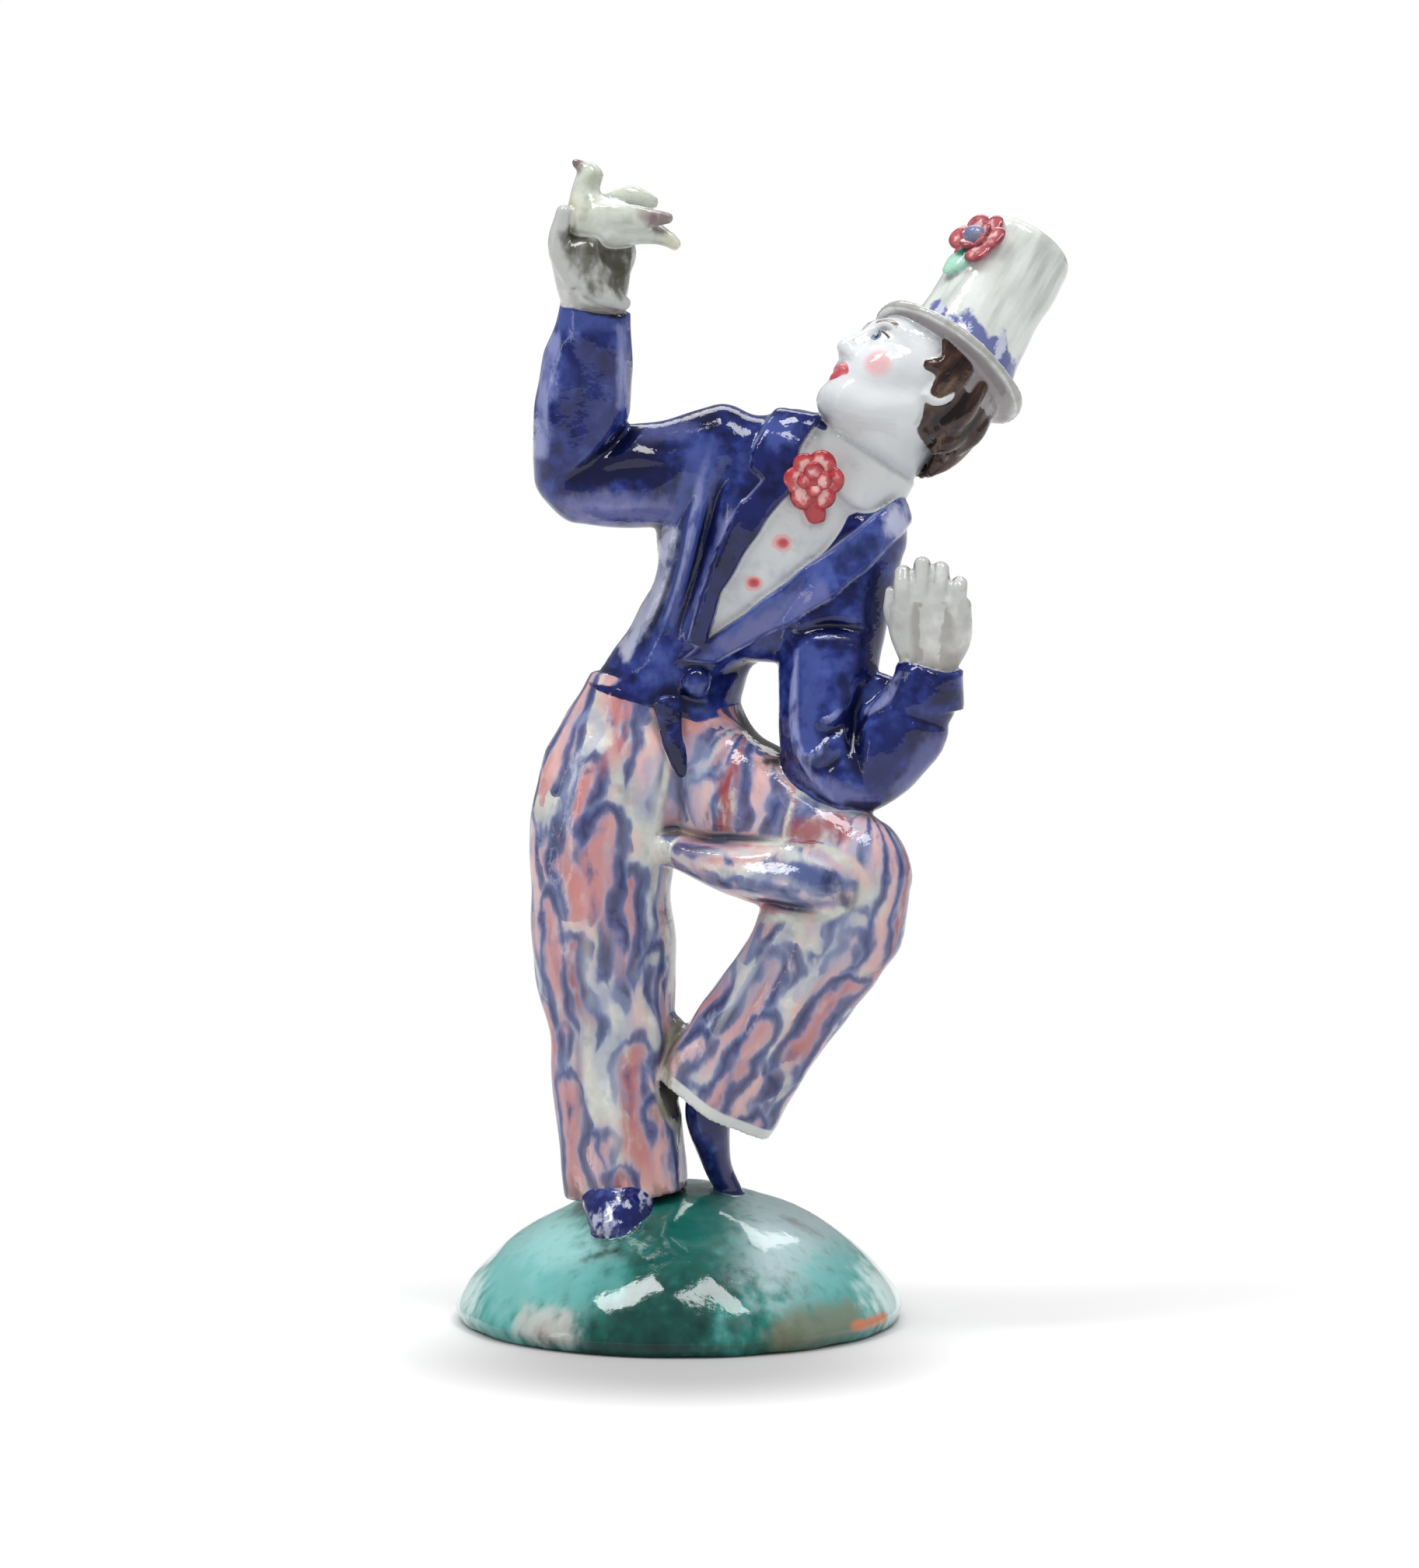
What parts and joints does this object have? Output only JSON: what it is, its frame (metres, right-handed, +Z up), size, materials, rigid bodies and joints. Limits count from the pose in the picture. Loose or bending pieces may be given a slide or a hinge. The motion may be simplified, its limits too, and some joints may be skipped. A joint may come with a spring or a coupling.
{
  "type": "pottery figurine of a dancing man",
  "caption": "Hand-painted glazed pottery figurine of a dancing man in a top hat and flared trousers, one leg lifted, a small bird on his raised hand, on a round domed mound.",
  "frame": {"origin": "middle of the mound's flat underside", "axes": "+Z up through the figure; -Y towards a viewer who faces his shirt front; +X to that viewer's right, the side his head tips to"},
  "size_m": [0.127, 0.093, 0.2409],
  "materials": {
    "glaze": "glossy hand-painted glaze: blue jacket, striped trousers, green mound"
  },
  "bodies": {
    "root": {"figurine": "glaze"}
  },
  "joints": []
}
